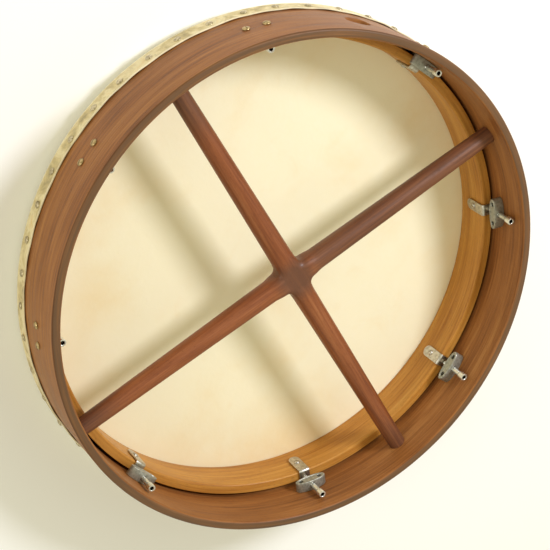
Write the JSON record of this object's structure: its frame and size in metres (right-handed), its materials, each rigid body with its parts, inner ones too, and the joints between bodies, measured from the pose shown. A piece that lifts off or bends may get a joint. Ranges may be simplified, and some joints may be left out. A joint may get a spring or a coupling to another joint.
{
  "type": "bodhran",
  "caption": "Shallow round frame drum with a tacked goat skin, a crossbar handle and an inner ring that lug bolts push against the head.",
  "frame": {"origin": "centre of the skin's playing face, which is the lowest face of the drum as it lies head down", "axes": "+Z from the head to the open back; the crossbars run close to X and Y"},
  "size_m": [0.46, 0.46, 0.086],
  "materials": {
    "frame_wood": "stained and waxed",
    "ring_wood": "waxed",
    "bar_wood": "stained and polished",
    "goat_skin": "raw, scraped",
    "cast_metal": "satin",
    "bright_metal": "bright plated",
    "screw_brass": "worn"
  },
  "bodies": {
    "frame": {"hoop_frame": "frame_wood", "goat_skin": "goat_skin", "crossbar_over": "bar_wood", "crossbar_under": "bar_wood", "lug_1": "cast_metal", "lug_2": "cast_metal", "lug_3": "cast_metal", "lug_4": "cast_metal", "lug_5": "cast_metal", "lug_6": "cast_metal", "lug_7": "cast_metal", "lug_8": "cast_metal", "lug_screw_1a": "screw_brass", "lug_screw_1b": "screw_brass", "lug_screw_2a": "screw_brass", "lug_screw_2b": "screw_brass", "lug_screw_3a": "screw_brass", "lug_screw_3b": "screw_brass", "lug_screw_4a": "screw_brass", "lug_screw_4b": "screw_brass", "lug_screw_5a": "screw_brass", "lug_screw_5b": "screw_brass", "lug_screw_6a": "screw_brass", "lug_screw_6b": "screw_brass", "lug_screw_7a": "screw_brass", "lug_screw_7b": "screw_brass", "lug_screw_8a": "screw_brass", "lug_screw_8b": "screw_brass"},
    "ring": {"tuning_ring": "ring_wood", "ring_bracket_1": "bright_metal", "ring_bracket_2": "bright_metal", "ring_bracket_3": "bright_metal", "ring_bracket_4": "bright_metal", "ring_bracket_5": "bright_metal", "ring_bracket_6": "bright_metal", "ring_bracket_7": "bright_metal", "ring_bracket_8": "bright_metal", "bracket_screw_1": "bright_metal", "bracket_screw_2": "bright_metal", "bracket_screw_3": "bright_metal", "bracket_screw_4": "bright_metal", "bracket_screw_5": "bright_metal", "bracket_screw_6": "bright_metal", "bracket_screw_7": "bright_metal", "bracket_screw_8": "bright_metal"},
    "bolt_1": {"tuning_bolt_1": "bright_metal"},
    "bolt_2": {"tuning_bolt_2": "bright_metal"},
    "bolt_3": {"tuning_bolt_3": "bright_metal"},
    "bolt_4": {"tuning_bolt_4": "bright_metal"},
    "bolt_5": {"tuning_bolt_5": "bright_metal"},
    "bolt_6": {"tuning_bolt_6": "bright_metal"},
    "bolt_7": {"tuning_bolt_7": "bright_metal"},
    "bolt_8": {"tuning_bolt_8": "bright_metal"}
  },
  "joints": [
    {"name": "ring_slide", "type": "slide", "parent": "frame", "child": "ring", "axis": [0, 0, -1], "range_m": [-0.002, 0.003], "deforming": ["goat_skin"]},
    {"name": "bolt_turn_1", "type": "hinge", "parent": "ring", "child": "bolt_1", "pos_m": [0.19594, 0.08971, 0.0576], "axis": [0, 0, -1], "range_deg": [-721, 1081]},
    {"name": "bolt_turn_2", "type": "hinge", "parent": "ring", "child": "bolt_2", "pos_m": [0.07547, 0.20185, 0.0576], "axis": [0, 0, -1], "range_deg": [-721, 1081]},
    {"name": "bolt_turn_3", "type": "hinge", "parent": "ring", "child": "bolt_3", "pos_m": [-0.08593, 0.19763, 0.0576], "axis": [0, 0, -1], "range_deg": [-721, 1081]},
    {"name": "bolt_turn_4", "type": "hinge", "parent": "ring", "child": "bolt_4", "pos_m": [-0.19369, 0.09447, 0.0576], "axis": [0, 0, -1], "range_deg": [-721, 1081]},
    {"name": "bolt_turn_5", "type": "hinge", "parent": "ring", "child": "bolt_5", "pos_m": [-0.20092, -0.07793, 0.0576], "axis": [0, 0, -1], "range_deg": [-721, 1081]},
    {"name": "bolt_turn_6", "type": "hinge", "parent": "ring", "child": "bolt_6", "pos_m": [-0.07688, -0.20132, 0.0576], "axis": [0, 0, -1], "range_deg": [-721, 1081]},
    {"name": "bolt_turn_7", "type": "hinge", "parent": "ring", "child": "bolt_7", "pos_m": [0.09311, -0.19434, 0.0576], "axis": [0, 0, -1], "range_deg": [-721, 1081]},
    {"name": "bolt_turn_8", "type": "hinge", "parent": "ring", "child": "bolt_8", "pos_m": [0.19895, -0.08282, 0.0576], "axis": [0, 0, -1], "range_deg": [-721, 1081]}
  ],
  "couplings": [
    {"joint": "bolt_turn_1", "follows": "ring_slide", "rad_per_m": 6283.2},
    {"joint": "bolt_turn_2", "follows": "ring_slide", "rad_per_m": 6283.2},
    {"joint": "bolt_turn_3", "follows": "ring_slide", "rad_per_m": 6283.2},
    {"joint": "bolt_turn_4", "follows": "ring_slide", "rad_per_m": 6283.2},
    {"joint": "bolt_turn_5", "follows": "ring_slide", "rad_per_m": 6283.2},
    {"joint": "bolt_turn_6", "follows": "ring_slide", "rad_per_m": 6283.2},
    {"joint": "bolt_turn_7", "follows": "ring_slide", "rad_per_m": 6283.2},
    {"joint": "bolt_turn_8", "follows": "ring_slide", "rad_per_m": 6283.2}
  ]
}
